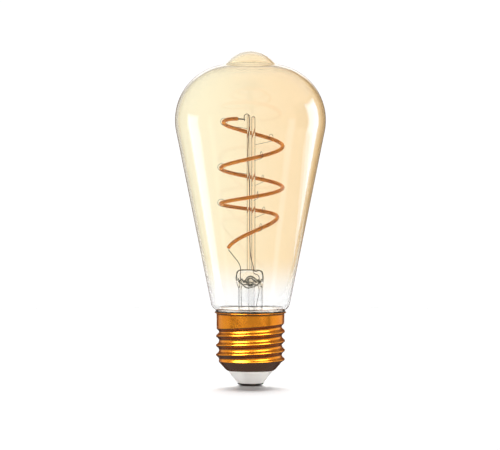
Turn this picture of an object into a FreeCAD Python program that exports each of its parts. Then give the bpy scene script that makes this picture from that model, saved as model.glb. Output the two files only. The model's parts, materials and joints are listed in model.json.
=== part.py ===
"""Smart light bulb: amber glass, spiral LED filament, E27 screw cap with driver and radio inside.

Millimetres. +Z runs up the axis of the bulb, and Z = 0 is the flat of the centre contact.
Each piece is one STEP file in parts/, named after its node.
"""

import FreeCAD, Part
import math
import os

Vector = FreeCAD.Vector
UP = Vector(0, 0, 1)

# ---- driving dimensions: the E27 cap ----
thread_outer_diameter = 26.4
thread_root_diameter = 24.1
thread_pitch = 3.629
first_crest_height = 20.87
crest_sharpness = 1.6
sheet = 0.3
poles_per_pitch = 14
shell_bands = 4
collar_radius = 12.95
collar_bottom = 23.25
collar_slant = 1.15
collar_straight = 24.4
collar_top = 26.7
collar_fade = 1.4
lip_radius = 13.85
lip_height = 28.1
cone_top_height = 8.6
cone_top_radius = 11.6
cone_fade = 1.7
crimp_radius = 8.6
crimp_height = 5.75
contact_radius = 4.95
contact_flat_radius = 3.0
contact_dome = 0.95
contact_pin_radius = 0.9
contact_pin_rise = 0.6
insulator_top = 8.9

# ---- driving dimensions: the glass ----
bulb_height = 127.9
glass_wall = 0.9
tip_radius = 11.4
tip_fillet = 8.0
shoulder_radius = 21.4
shoulder_centre = (7.4, 101.6)
taper = math.radians(11.4)
taper_bottom = 31.6
foot_radius = 4.0
neck_radius = 11.6
neck_fillet = 1.0
neck_bottom = 20.5

# ---- driving dimensions: the stem ----
stem_radius = 4.75
stem_wall = 0.8
stem_flare_height = 6.0
press_width = 10.7
press_depth = 3.4
press_bottom = 39.6
press_top = 44.6
exhaust_radius = 1.35
exhaust_x = 0.4
exhaust_tip = 17.6
vent_radius = 0.95
seal_y = -1.0
right_rod = (1.11, 0.0, 0.76, 103.1)
left_rod = (-0.72, 0.0, 0.65, 103.6)

# ---- driving dimensions: the filament ----
filament_radius = 0.72
filament_centre_x = 0.5
helix_radius = 11.8
helix_start = -0.1
helix_end = 2.943
helix_top = 101.3
helix_drop = 20.3
helix_gather = 2.25
start_droop = 125.0
end_droop = 27.0
end_droop_from = 2.4
start_inset = 0.47
start_inset_to = 0.15
end_inset = 0.2
top_pin = 2.5
bottom_pin = 0.5
pin_radius = 0.27
strip_inset = 0.03
channel_width = 0.95
channel_height = 0.56
substrate_width = 0.85
substrate_height = 0.14
chip_length = 0.7
chip_width = 0.5
chip_height = 0.2
chip_count = 96
hook_turns = (0.04, 0.36, 0.70, 1.00, 1.31, 1.72, 2.00, 2.32, 2.69)
hook_wire = 0.13
hook_loop = 1.35
hook_rise = 1.2
hook_clearance = 0.12

# ---- driving dimensions: wires and driver ----
lead_wire = 0.19
seal_wire = 0.22
thin_wire = 0.14
board_radius = 10.3
board_bottom = 12.0
board_thickness = 1.0
board_top = board_bottom + board_thickness
sleeve_radius = 10.95
sleeve_wall = 0.15
sleeve_bottom = 9.1
sleeve_top = 18.6
power_wire = 0.22
neutral_height = 19.2
inductor_place = (4.7, 4.6)
capacitor_place = (-4.7, 4.4)
fuse_y = 4.2
fuse_height = 10.45
fuse_radius = 1.05
module_x = 0.0
module_y = -5.2
module_width = 13.0
module_height = 5.8


# ---- general helpers ----
def save(name, shape):
    """Writes one node's STEP file."""
    shape.exportStep("parts/" + name + ".step")


def smooth_step(value, low, high):
    """0 below low, 1 above high, and a smooth rise between."""
    share = min(1.0, max(0.0, (value - low) / (high - low)))
    return share * share * (3 - 2 * share)


def in_plane(radius, height):
    """A point of a section that is turned about the axis."""
    return Vector(radius, 0, height)


def on_circle(centre, radius, angle):
    """The point of a section circle at an angle in radians from the horizontal."""
    return in_plane(centre[0] + radius * math.cos(angle), centre[1] + radius * math.sin(angle))


def line(start, end):
    return Part.makeLine(start, end)


def arc(centre, radius, first, last):
    """An arc of a section from the first angle to the last."""
    middle = (first + last) / 2
    ends = [on_circle(centre, radius, angle) for angle in (first, middle, last)]
    return Part.Arc(*ends).toShape()


def turned(edges):
    """The solid that a closed section makes when it is turned once about the axis."""
    return Part.Face(Part.Wire(edges)).revolve(Vector(0, 0, 0), UP, 360)


def rounded_edges(points, bends, closed):
    """Straight edges between points, with each corner rounded to its bend radius."""
    count = len(points)
    corners = range(count) if closed else range(1, count - 1)
    entry = list(points)
    leave = list(points)
    arcs = {}
    for index in corners:
        corner = points[index]
        back = (points[index - 1] - corner).normalize()
        onward = (points[(index + 1) % count] - corner).normalize()
        half_turn = (math.pi - back.getAngle(onward)) / 2
        if bends[index] == 0 or half_turn < 1e-4:
            continue
        reach = bends[index] * math.tan(half_turn)
        entry[index] = corner + back * reach
        leave[index] = corner + onward * reach
        rise = bends[index] / math.cos(half_turn) - bends[index]
        middle = corner + (back + onward).normalize() * rise
        arcs[index] = Part.Arc(entry[index], middle, leave[index]).toShape()
    edges = []
    for index in range(count):
        if index in arcs:
            edges.append(arcs[index])
        following = (index + 1) % count
        if following == 0 and not closed:
            break
        if (entry[following] - leave[index]).Length > 1e-6:
            edges.append(line(leave[index], entry[following]))
    return edges


def turned_outline(corners):
    """A turned solid from corners given as (radius, height, rounding)."""
    points = [in_plane(radius, height) for radius, height, bend in corners]
    bends = [bend for radius, height, bend in corners]
    return turned(rounded_edges(points, bends, closed=True))


def swept(path_edges, radius):
    """A round wire along a path."""
    path = Part.Wire(path_edges)
    start = path_edges[0].valueAt(path_edges[0].FirstParameter)
    heading = path_edges[0].tangentAt(path_edges[0].FirstParameter)
    profile = Part.Wire(Part.makeCircle(radius, start, heading))
    return path.makePipeShell([profile], True, False)


def bent_wire(points, bend, radius):
    """A round wire through points, with every corner bent to the same radius."""
    vectors = [Vector(*point) for point in points]
    return swept(rounded_edges(vectors, [bend] * len(vectors), closed=False), radius)


def cylinder(x, y, bottom, radius, height):
    return Part.makeCylinder(radius, height, Vector(x, y, bottom))


def block(x, y, bottom, size_x, size_y, size_z):
    """A box centred on x and y, standing on bottom."""
    return Part.makeBox(size_x, size_y, size_z, Vector(x - size_x / 2, y - size_y / 2, bottom))


# ---- glass envelope ----
def envelope_outline(inset):
    """The envelope's outline from the tip to the bottom of the neck, moved in by inset."""
    tip_centre = (0.0, bulb_height - tip_radius)
    reach = math.dist(tip_centre, shoulder_centre)
    to_tip = tip_radius + tip_fillet
    to_shoulder = shoulder_radius + tip_fillet
    along = (to_tip**2 - to_shoulder**2 + reach**2) / (2 * reach)
    across = math.sqrt(to_tip**2 - along**2)
    slope_r = (shoulder_centre[0] - tip_centre[0]) / reach
    slope_z = (shoulder_centre[1] - tip_centre[1]) / reach
    fillet_centre = (
        tip_centre[0] + along * slope_r - across * slope_z,
        tip_centre[1] + along * slope_z + across * slope_r,
    )
    tip_angle = math.atan2(fillet_centre[1] - tip_centre[1], fillet_centre[0])
    shoulder_angle = math.atan2(
        fillet_centre[1] - shoulder_centre[1], fillet_centre[0] - shoulder_centre[0]
    )

    taper_start = on_circle(shoulder_centre, shoulder_radius, -taper)
    taper_end = in_plane(
        taper_start.x - (taper_start.z - taper_bottom) * math.tan(taper), taper_bottom
    )
    foot_centre = (
        taper_end.x - foot_radius * math.cos(taper),
        taper_end.z + foot_radius * math.sin(taper),
    )
    neck_centre_r = neck_radius + neck_fillet
    foot_angle = math.acos((neck_centre_r - foot_centre[0]) / (foot_radius + neck_fillet))
    neck_centre = (
        neck_centre_r,
        foot_centre[1] - (foot_radius + neck_fillet) * math.sin(foot_angle),
    )

    tip = arc(tip_centre, tip_radius - inset, math.pi / 2, tip_angle)
    hollow = arc(
        fillet_centre, tip_fillet + inset, tip_angle + math.pi, shoulder_angle + math.pi
    )
    shoulder = arc(shoulder_centre, shoulder_radius - inset, shoulder_angle, -taper)
    foot = arc(foot_centre, foot_radius - inset, -taper, -foot_angle)
    throat = arc(neck_centre, neck_fillet + inset, math.pi - foot_angle, math.pi)
    neck_top = in_plane(neck_radius - inset, neck_centre[1])
    return [
        tip,
        hollow,
        shoulder,
        line(
            on_circle(shoulder_centre, shoulder_radius - inset, -taper),
            on_circle(foot_centre, foot_radius - inset, -taper),
        ),
        foot,
        throat,
        line(neck_top, in_plane(neck_radius - inset, neck_bottom)),
    ]


def glass_envelope():
    outside = envelope_outline(0)
    inside = envelope_outline(glass_wall)
    rim = line(
        in_plane(neck_radius, neck_bottom),
        in_plane(neck_radius - glass_wall, neck_bottom),
    )
    crown = line(in_plane(0, bulb_height), in_plane(0, bulb_height - glass_wall))
    return turned(Part.__sortEdges__(outside + inside + [rim, crown]))


# ---- screw shell ----
def thread_radius(angle, height):
    """Outer radius of the rolled brass at an angle in degrees and a height."""
    turns = (height - first_crest_height) / thread_pitch - angle / 360
    ridge = ((1 + math.cos(2 * math.pi * turns)) / 2) ** crest_sharpness
    depth = (thread_outer_diameter - thread_root_diameter) / 2
    threaded = thread_root_diameter / 2 + depth * ridge
    collar_edge = collar_bottom + collar_slant * math.cos(math.radians(angle))
    collar = smooth_step(height, collar_edge - collar_fade, collar_edge)
    cone = 1 - smooth_step(height, cone_top_height, cone_top_height + cone_fade)
    cone_radius = cone_top_radius + (height - cone_top_height) * 0.6
    return threaded * (1 - collar - cone) + collar_radius * collar + cone_radius * cone


def shell_section(angle):
    """Poles of the rolled sheet at an angle: up the outside, over the lip, down the inside."""
    threaded_height = collar_straight - cone_top_height
    steps = round(threaded_height / thread_pitch * poles_per_pitch)
    heights = [cone_top_height + threaded_height * step / steps for step in range(steps + 1)]
    outside = [(thread_radius(angle, height), height) for height in heights]
    inside = [(radius - sheet, height) for radius, height in reversed(outside)]
    inner_radius = collar_radius - sheet
    crimp = [
        (crimp_radius - 0.05, crimp_height + 0.2),
        (crimp_radius, crimp_height),
        (9.0, crimp_height + 0.2),
        (9.5, 6.3),
        (10.3, 7.15),
        (10.95, 7.9),
    ]
    collar = [(collar_radius, collar_straight + 0.3), (collar_radius, collar_top)]
    lip = [
        (collar_radius, lip_height - 0.8),
        (collar_radius + 0.25, lip_height - 0.35),
        (lip_radius - 0.08, lip_height - 0.15),
        (lip_radius, lip_height),
        (lip_radius - 0.08, lip_height + 0.15),
        (collar_radius + 0.2, lip_height + 0.05),
        (inner_radius, lip_height - 0.35),
    ]
    inner_collar = [(inner_radius, collar_top), (inner_radius, collar_straight + 0.3)]
    inner_cone = [(10.65, 7.95), (10.0, 7.35), (9.3, 6.75), (9.0, 6.5)]
    return crimp + outside + collar + lip + inner_collar + inside + inner_cone


def screw_shell():
    """Rolled brass shell: one smooth surface, closed round the axis and round its section."""
    columns = 32
    swell = 3 / (2 + math.cos(2 * math.pi / columns))
    poles = []
    for column in range(columns):
        angle = 360 * column / columns
        outward = Vector(math.cos(math.radians(angle)), math.sin(math.radians(angle)), 0)
        poles.append(
            [outward * radius * swell + UP * height for radius, height in shell_section(angle)]
        )
    rows = len(poles[0])
    surface = Part.BSplineSurface()
    surface.buildFromPolesMultsKnots(
        poles,
        [1] * (columns + 1),
        [1] * (rows + 1),
        list(range(columns + 1)),
        list(range(rows + 1)),
        True,
        True,
        3,
        3,
    )
    patches = []
    for quarter in range(4):
        for band in range(shell_bands):
            patch = surface.copy()
            patch.segment(
                columns * quarter // 4,
                columns * (quarter + 1) // 4,
                rows * band // shell_bands,
                rows * (band + 1) // shell_bands,
            )
            patches.append(patch.toShape())
    skin = Part.makeCompound(patches)
    skin.sewShape()
    return Part.makeSolid(skin.Shells[0])


# ---- lower end of the cap ----
def cap_insulator():
    """White insulator, with the bore that the contact's pin goes through."""
    return turned_outline(
        [
            (contact_pin_radius + 0.03, 1.0, 0),
            (5.05, 1.0, 0.25),
            (8.3, 5.45, 0.3),
            (8.3, 6.2, 0),
            (9.15, 6.8, 0.6),
            (11.0, 8.75, 0.1),
            (11.0, insulator_top, 0),
            (contact_pin_radius + 0.03, insulator_top, 0),
        ]
    )


def centre_contact():
    """Contact with a flat middle, a domed edge, and a pin up through the insulator."""
    return turned_outline(
        [
            (0, 0, 0),
            (contact_flat_radius, 0, 2.5),
            (contact_radius - 0.1, 0.62, 0.4),
            (contact_radius, contact_dome, 0.05),
            (contact_pin_radius, contact_dome, 0),
            (contact_pin_radius, insulator_top + contact_pin_rise, 0.2),
            (0, insulator_top + contact_pin_rise, 0),
        ]
    )


def capping_cement():
    """Cement between the glass neck and the collar."""
    return turned_outline(
        [
            (neck_radius, collar_straight + 0.2, 0),
            (collar_radius - sheet, collar_straight + 0.2, 0),
            (collar_radius - sheet, 27.2, 0.2),
            (neck_radius, 27.2, 0),
        ]
    )


# ---- stem ----
def rod(place):
    """A glass support rod from inside the press to its fire-rounded top."""
    x, y, radius, top = place
    bottom = press_top - 0.8
    body = cylinder(x, y, bottom, radius, top - bottom)
    rim = [edge for edge in body.Edges if edge.BoundBox.ZMin > top - 0.01]
    return body.makeFillet(radius * 0.4, rim)


def exhaust_tube():
    """Tube that the bulb was pumped through, tipped off at the lower end."""
    bore = exhaust_radius - 0.4
    top = press_bottom + 1.2
    straight = exhaust_tip + 3
    outer = Part.makeCylinder(exhaust_radius, top - straight, Vector(0, 0, straight))
    hollow = Part.makeCylinder(bore, top - straight, Vector(0, 0, straight))
    tip = Part.makeCone(0.4, exhaust_radius, straight - exhaust_tip, Vector(0, 0, exhaust_tip))
    tip_hollow = Part.makeCone(0, bore, straight - exhaust_tip - 1, Vector(0, 0, exhaust_tip + 1))
    tube = outer.fuse(tip).cut(hollow.fuse(tip_hollow)).removeSplitter()
    tube.translate(Vector(exhaust_x, 0, 0))
    return tube


def press_block():
    """Flat pinched end of the stem, with lobes at its sides and a wavy top."""
    corner = press_depth * 0.45
    core = block(0, 0, press_bottom, press_width, press_depth, press_top - press_bottom)
    upright = [edge for edge in core.Edges if edge.BoundBox.ZLength > 1]
    core = core.makeFillet(corner, upright)
    top_edges = [edge for edge in core.Edges if edge.BoundBox.ZMin > press_top - 0.01]
    core = core.makeFillet(0.9, top_edges)
    for x, radius in ((-4.2, 0.9), (-2.4, 0.7), (2.9, 0.8), (4.1, 0.9)):
        core = core.fuse(Part.makeSphere(radius, Vector(x, 0, press_top - 0.5)))
    core.translate(Vector(-0.3, 0, 0))
    return core


def stem_flare_tube(pieces_sealed_in):
    """Flare tube with the press at its top; rods, wires and exhaust tube are sealed into it."""
    flare_top = neck_bottom + stem_flare_height
    inner = stem_radius - stem_wall
    outside = turned_outline(
        [
            (0, neck_bottom - stem_wall, 0),
            (neck_radius, neck_bottom - stem_wall, 0),
            (neck_radius, neck_bottom, 0),
            (neck_radius - glass_wall, neck_bottom, 0),
            (8.6, neck_bottom + 0.6, 1.2),
            (stem_radius, flare_top, 3.0),
            (stem_radius, press_bottom + 1.0, 0.8),
            (0, press_bottom + 1.0, 0),
        ]
    )
    hollow = turned_outline(
        [
            (0, neck_bottom - stem_wall, 0),
            (neck_radius - 1.2, neck_bottom - stem_wall, 0),
            (8.2, neck_bottom - 0.2, 2.0),
            (inner, flare_top - 0.6, 3.0),
            (inner, press_bottom, 1.5),
            (0, press_bottom, 0),
        ]
    )
    stem = outside.cut(hollow).fuse(press_block())
    vent_place = Vector(exhaust_x, -press_depth, press_bottom + 1.3)
    vent = Part.makeCylinder(vent_radius, press_depth, vent_place)
    vent.rotate(vent.BoundBox.Center, Vector(1, 0, 0), 90)
    for piece in pieces_sealed_in + [vent]:
        stem = stem.cut(piece)
    stem = stem.removeSplitter()
    return max(stem.Solids, key=lambda solid: solid.Volume)


# ---- filament ----
def filament_point(turn):
    """Centre line of the filament, counted in turns down from the first left-hand bend."""
    angle = math.pi * (1 - 2 * turn)
    start_pull = max(0.0, start_inset_to - turn) / (start_inset_to - helix_start)
    end_pull = smooth_step(turn, 2.15, 2.6)
    radius = helix_radius * (1 - start_inset * start_pull**2.6 - end_inset * end_pull)
    height = helix_top - helix_drop * turn + helix_gather * turn**2
    height -= start_droop * max(0.0, -turn) ** 2
    height -= end_droop * max(0.0, turn - end_droop_from) ** 2
    return Vector(filament_centre_x + radius * math.cos(angle), radius * math.sin(angle), height)


def filament_frame(turn):
    """Centre, heading, outward and side directions of the filament at a turn."""
    step = 0.001
    centre = filament_point(turn)
    heading = (filament_point(turn + step) - filament_point(turn - step)).normalize()
    outward = Vector(centre.x - filament_centre_x, centre.y, 0)
    outward = (outward - heading * outward.dot(heading)).normalize()
    return centre, heading, outward, heading.cross(outward)


def turns_between(first, last, count):
    return [first + (last - first) * index / count for index in range(count + 1)]


def strip_along(first, last, width, low, high):
    """A rectangular strip along the filament, from low to high in the outward direction."""
    sections = []
    for turn in turns_between(first, last, 84):
        centre, heading, outward, side = filament_frame(turn)
        corners = [
            centre + outward * reach + side * width * half
            for reach, half in ((low, -0.5), (high, -0.5), (high, 0.5), (low, 0.5))
        ]
        sections.append(Part.makePolygon(corners + corners[:1]))
    return Part.makeLoft(sections, True, False)


def filament_coating():
    """Phosphor-filled silicone, with the channel that the substrate and chips fill."""
    route = Part.BSplineCurve()
    route.interpolate([filament_point(turn) for turn in turns_between(helix_start, helix_end, 84)])
    body = swept([route.toShape()], filament_radius)
    channel = strip_along(
        helix_start + strip_inset - 0.004,
        helix_end - 0.008,
        channel_width,
        -channel_height / 2,
        channel_height / 2,
    )
    return body.cut(channel)


def filament_substrate():
    """Flexible printed strip that carries the chips."""
    return strip_along(
        helix_start + strip_inset,
        helix_end - 0.012,
        substrate_width,
        -substrate_height / 2,
        substrate_height / 2,
    )


def led_chips():
    """A row of light-emitting chips on the outward face of the substrate."""
    chips = []
    for index in range(chip_count):
        share = (index + 0.5) / chip_count
        turn = helix_start + 0.03 + (helix_end - helix_start - 0.06) * share
        centre, heading, outward, side = filament_frame(turn)
        chip = block(0, 0, 0, chip_length, chip_width, chip_height)
        turned_to = FreeCAD.Rotation(heading, side, outward, "ZXY")
        base = centre + outward * (substrate_height / 2)
        chip.Placement = FreeCAD.Placement(base, turned_to)
        chips.append(chip)
    return Part.makeCompound(chips)


def filament_terminal(turn, direction):
    """Metal end pin of the filament, pointing out of the coating."""
    centre, heading, outward, side = filament_frame(turn)
    length = top_pin if direction < 0 else bottom_pin
    pin = Part.makeCylinder(pin_radius, length, centre, heading * direction)
    collar = Part.makeCylinder(0.5, 0.3, centre, heading * direction)
    return pin.fuse(collar).removeSplitter()


def support_hook(turn):
    """Fine wire from a support rod to an open loop round the filament."""
    centre, heading, outward, side = filament_frame(turn)
    x, y, rod_radius = (left_rod if centre.x < 0 else right_rod)[:3]
    loop_low = centre - UP * (filament_radius + hook_wire + hook_clearance)
    away = Vector(loop_low.x - x, loop_low.y - y, 0).normalize()
    start = Vector(x, y, loop_low.z - hook_rise) + away * rod_radius
    run = (loop_low - start).normalize()
    up_side = (UP - run * UP.dot(run)).normalize()
    loop_centre = loop_low + up_side * hook_loop
    points = []
    for degrees in (0, 140, 280):
        swing = math.radians(degrees)
        across = run * math.sin(swing) - up_side * math.cos(swing)
        points.append(loop_centre + across * hook_loop)
    loop = Part.Arc(*points).toShape()
    return swept([line(start, loop_low), loop], hook_wire)


# ---- wires of the mount ----
def long_lead_wire():
    """Lead from the press up beside the left rod, over its top to the filament's upper pin."""
    centre, heading, outward, side = filament_frame(helix_start)
    pin_end = centre - heading * (top_pin - lead_wire)
    behind_pin = pin_end.y + (pin_radius + lead_wire) * 1.3
    front = -left_rod[2] - lead_wire - 0.05
    return bent_wire(
        [
            (1.19, seal_y, press_top - 0.4),
            (1.12, seal_y, press_top + 1.2),
            (0.2, front, 49.2),
            (-0.19, front, 55.0),
            (-0.35, front, 75.0),
            (-0.95, front, 88.0),
            (-0.55, front, 99.0),
            (-0.6, front, 103.2),
            (-1.3, (front + behind_pin) / 2, 104.3),
            (pin_end.x - 0.1, behind_pin, 103.5),
            (pin_end.x, behind_pin, pin_end.z - 0.8),
        ],
        0.45,
        lead_wire,
    )


def short_lead_wire():
    """Lead from the press up to the underside of the filament's lower pin."""
    centre, heading, outward, side = filament_frame(helix_end)
    pin_end = centre + heading * bottom_pin
    below_pin = pin_end.z - pin_radius - lead_wire
    return bent_wire(
        [
            (-3.75, 0, press_top - 0.8),
            (-3.85, -0.2, press_top + 1.2),
            (-4.6, centre.y * 0.4, 47.6),
            (-6.2, centre.y * 0.8, 49.6),
            (-7.8, pin_end.y, below_pin - 0.65),
            (pin_end.x + 0.1, pin_end.y, below_pin - 0.03),
        ],
        0.5,
        lead_wire,
    )


def seal_wire_left():
    """Copper-clad wire sealed through the left side of the press."""
    return bent_wire(
        [(-3.75, 0, press_top - 0.85), (-3.75, 0, 41.5), (-3.6, 0, 36.5)], 0.8, seal_wire
    )


def seal_wire_right():
    """Copper-clad wire sealed through the right side of the press."""
    return bent_wire(
        [
            (1.19, seal_y, press_top - 0.45),
            (1.25, seal_y, 43.1),
            (3.0, seal_y / 2, 42.4),
            (3.55, 0, 41.0),
            (3.55, 0, 35.9),
        ],
        0.5,
        seal_wire,
    )


def outer_lead_left():
    """Lead from the left seal wire down the stem to its pad on the driver board."""
    x, y = -7.6, -1.0
    route = [(-3.6, 0, 36.5), (-3.3, 0, 24.5), (x, y, 19.5), (x, y, board_top)]
    return bent_wire(route, 1.5, thin_wire)


def outer_lead_right():
    """Lead from the right seal wire, slanting down the stem to its pad on the driver board."""
    x, y = 7.0, -1.0
    route = [(3.55, 0, 35.9), (2.1, 0, 28.4), (x, y, 19.0), (x, y, board_top)]
    return bent_wire(route, 1.5, thin_wire)


def live_wire():
    """Wire from the contact's pin to the underside of the driver board."""
    x, y = 1.5, 0.9
    pin_top = insulator_top + contact_pin_rise
    route = [(0, 0, pin_top), (0, 0, 10.2), (x, y, 10.9), (x, y, board_bottom)]
    return bent_wire(route, 0.3, power_wire)


def neutral_wire():
    """Wire from the driver board over the insulating sleeve to the inside of the shell."""
    degrees = 14
    pad_radius = 9.0
    angle = math.radians(degrees)
    sideways = Vector(math.cos(angle), math.sin(angle), 0)
    inner_wall = thread_radius(degrees, neutral_height) - sheet
    route = [
        sideways * pad_radius + UP * board_top,
        sideways * pad_radius + UP * neutral_height,
        sideways * inner_wall + UP * neutral_height,
    ]
    return bent_wire(route, 0.6, power_wire)


# ---- driver and radio inside the cap ----
def header_pins():
    """Row of square pins that join the radio module to the driver board."""
    pins = [
        block(module_x + (index - 2) * 1.27, module_y - 0.6, board_bottom - 0.4, 0.4, 0.4, 2.0)
        for index in range(5)
    ]
    return Part.makeCompound(pins)


def driver_board(pins):
    """Round driver board with a flat at one side and holes for the header pins."""
    disc = cylinder(0, 0, board_bottom, board_radius, board_thickness)
    flat = block(0, board_radius + 1, board_bottom, 2 * board_radius, 4.0, board_thickness)
    board = disc.cut(flat)
    for pin in pins.Solids:
        board = board.cut(pin)
    return board


def smoothing_capacitor():
    """Electrolytic can with its crimped groove and rubber bung at the board."""
    can = turned_outline(
        [
            (0, board_top, 0),
            (2.9, board_top, 0.3),
            (3.1, board_top + 0.9, 0.2),
            (2.75, board_top + 1.3, 0.2),
            (3.15, board_top + 1.7, 0.2),
            (3.15, board_top + 6.0, 0.5),
            (0, board_top + 6.0, 0),
        ]
    )
    can.translate(Vector(*capacitor_place, 0))
    return can


def inductor_core():
    """Ferrite drum: two flanges and a waist."""
    drum = turned_outline(
        [
            (0, board_top, 0),
            (2.5, board_top, 0.15),
            (2.5, board_top + 0.9, 0.1),
            (1.2, board_top + 0.9, 0),
            (1.2, board_top + 4.3, 0),
            (2.5, board_top + 4.3, 0.1),
            (2.5, board_top + 5.2, 0.15),
            (0, board_top + 5.2, 0),
        ]
    )
    drum.translate(Vector(*inductor_place, 0))
    return drum


def inductor_winding():
    """Copper winding round the waist of the drum."""
    coil = Part.makeCylinder(2.2, 3.3).cut(Part.makeCylinder(1.22, 3.3))
    coil.translate(Vector(*inductor_place, board_top + 0.95))
    return coil


def fuse_resistor():
    """Fusible resistor lying under the board, with both legs bent up to it."""
    half = 2.9
    start = Vector(-half, fuse_y, fuse_height)
    body = Part.makeCylinder(fuse_radius, 2 * half, start, Vector(1, 0, 0))
    rims = [edge for edge in body.Edges if edge.Curve.TypeId == "Part::GeomCircle"]
    body = body.makeFillet(0.35, rims)
    leg_end = half + 1.6
    route = [
        (-leg_end, fuse_y, board_bottom),
        (-leg_end, fuse_y, fuse_height),
        (leg_end, fuse_y, fuse_height),
        (leg_end, fuse_y, board_bottom),
    ]
    return body.fuse(bent_wire(route, 0.6, 0.25)).removeSplitter()


def fuse_sleeve():
    """Heat-shrink sleeve over the fusible resistor."""
    half = 2.4
    start = Vector(-half, fuse_y, fuse_height)
    sideways = Vector(1, 0, 0)
    outer = Part.makeCylinder(fuse_radius + 0.25, 2 * half, start, sideways)
    return outer.cut(Part.makeCylinder(fuse_radius + 0.02, 2 * half, start, sideways))


def small_package(x, y, size_x, size_y, height, legs):
    """Moulded package under the board, with gull-wing legs along its two long sides."""
    gap = 0.1
    leg_width = 0.4
    low = board_bottom - height - gap
    body = block(x, y, low, size_x, size_y, height)
    body = body.makeChamfer(0.25, [edge for edge in body.Edges if edge.BoundBox.ZMax < low + 0.01])
    pitch = size_x / legs
    for index in range(legs):
        leg_x = x + (index - (legs - 1) / 2) * pitch
        for side in (-1, 1):
            knee_y = y + side * (size_y / 2 + 0.15)
            foot_y = y + side * (size_y / 2 + 0.55)
            knee = block(leg_x, knee_y, low + height / 2, leg_width, 0.3, height / 2 + gap)
            foot = block(leg_x, foot_y, board_bottom - 0.2, leg_width, 0.6, 0.2)
            body = body.fuse(knee).fuse(foot)
    return body.removeSplitter()


def chip_group(places, height):
    """Identical surface-mount chips on top of the board, turned as placed."""
    chips = []
    for x, y, angle in places:
        chip = block(0, 0, 0, 2.0, 1.25, height)
        chip.rotate(Vector(0, 0, 0), UP, angle)
        chip.translate(Vector(x, y, board_top))
        chips.append(chip)
    return Part.makeCompound(chips)


def chip_resistors():
    places = [
        (-0.6, 6.2, 90),
        (1.0, 6.2, 90),
        (-0.2, 2.4, 0),
        (-4.6, -0.6, 90),
        (-2.6, -0.4, 0),
        (4.4, -0.8, 90),
    ]
    return chip_group(places, 0.5)


def chip_capacitors():
    places = [(0.4, -0.6, 0), (2.6, -0.6, 90), (-0.8, -2.4, 0), (8.3, -0.6, 90)]
    return chip_group(places, 0.9)


def radio_module_board():
    """Upright daughter board that carries the radio."""
    board = block(module_x, module_y, board_top + 0.1, module_width, 0.8, module_height)
    corners = [edge for edge in board.Edges if edge.BoundBox.ZMin > board_top + module_height]
    corners = [edge for edge in corners if edge.BoundBox.YLength > 0.5]
    return board.makeFillet(0.4, corners)


def radio_shield_can():
    """Pressed metal can over the radio chip."""
    can = block(module_x - 1.9, module_y - 1.1, board_top + 0.7, 7.4, 1.4, 4.6)
    edges = [edge for edge in can.Edges if edge.BoundBox.YMax < module_y - 1.7]
    return can.makeFillet(0.25, edges)


def radio_antenna():
    """Zigzag copper trace at the free end of the radio module."""
    trace = None
    depth, width, pitch = 0.05, 0.35, 0.75
    y = module_y - 0.4 - depth / 2
    left = module_x + 2.5
    for index in range(4):
        x = left + index * pitch
        bar = block(x, y, board_top + 1.2, width, depth, 3.6)
        link_height = board_top + (4.45 if index % 2 == 0 else 1.2)
        trace = bar if trace is None else trace.fuse(bar)
        if index < 3:
            trace = trace.fuse(block(x + pitch / 2, y, link_height, pitch, depth, width))
    return trace.removeSplitter()


def insulating_sleeve():
    """Thin film tube between the driver and the brass."""
    height = sleeve_top - sleeve_bottom
    outer = cylinder(0, 0, sleeve_bottom, sleeve_radius, height)
    return outer.cut(cylinder(0, 0, sleeve_bottom, sleeve_radius - sleeve_wall, height))


def make_parts():
    os.makedirs("parts", exist_ok=True)
    rods = {"support_rod_left": rod(left_rod), "support_rod_right": rod(right_rod)}
    leads = {
        "long_lead_wire": long_lead_wire(),
        "short_lead_wire": short_lead_wire(),
        "seal_wire_left": seal_wire_left(),
        "seal_wire_right": seal_wire_right(),
    }
    tube = exhaust_tube()
    pins = header_pins()
    sealed = list(rods.values()) + list(leads.values()) + [tube]
    nodes = {
        "glass_envelope": glass_envelope(),
        "screw_shell": screw_shell(),
        "cap_insulator": cap_insulator(),
        "centre_contact": centre_contact(),
        "capping_cement": capping_cement(),
        "stem_flare_tube": stem_flare_tube(sealed),
        "exhaust_tube": tube,
        "filament_coating": filament_coating(),
        "filament_substrate": filament_substrate(),
        "led_chips": led_chips(),
        "filament_terminal_top": filament_terminal(helix_start, -1),
        "filament_terminal_bottom": filament_terminal(helix_end, 1),
        "outer_lead_left": outer_lead_left(),
        "outer_lead_right": outer_lead_right(),
        "live_wire": live_wire(),
        "neutral_wire": neutral_wire(),
        "header_pins": pins,
        "driver_board": driver_board(pins),
        "smoothing_capacitor": smoothing_capacitor(),
        "inductor_core": inductor_core(),
        "inductor_winding": inductor_winding(),
        "fuse_resistor": fuse_resistor(),
        "fuse_sleeve": fuse_sleeve(),
        "bridge_rectifier": small_package(-4.4, -3.0, 4.7, 3.8, 1.5, 2),
        "driver_chip": small_package(3.6, -3.0, 4.9, 3.9, 1.5, 4),
        "chip_resistors": chip_resistors(),
        "chip_capacitors": chip_capacitors(),
        "radio_module_board": radio_module_board(),
        "radio_shield_can": radio_shield_can(),
        "radio_antenna": radio_antenna(),
        "insulating_sleeve": insulating_sleeve(),
    }
    nodes.update(rods)
    nodes.update(leads)
    for number, turn in enumerate(hook_turns, 1):
        nodes["support_hook_" + str(number)] = support_hook(turn)
    for name, shape in nodes.items():
        save(name, shape)
        print(name, shape.isValid(), round(shape.Volume, 3), shape.ShapeType, len(shape.Solids))


make_parts()
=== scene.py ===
"""Smart light bulb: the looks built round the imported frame.

Sizes are in millimetres, and the mesh builder turns them into metres. +Z runs up the bulb's axis,
and the camera looks along +Y. Pieces follow the CAD nodes they replace.
"""

import json
import math

import bmesh
import bpy
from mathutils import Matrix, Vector, noise

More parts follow.
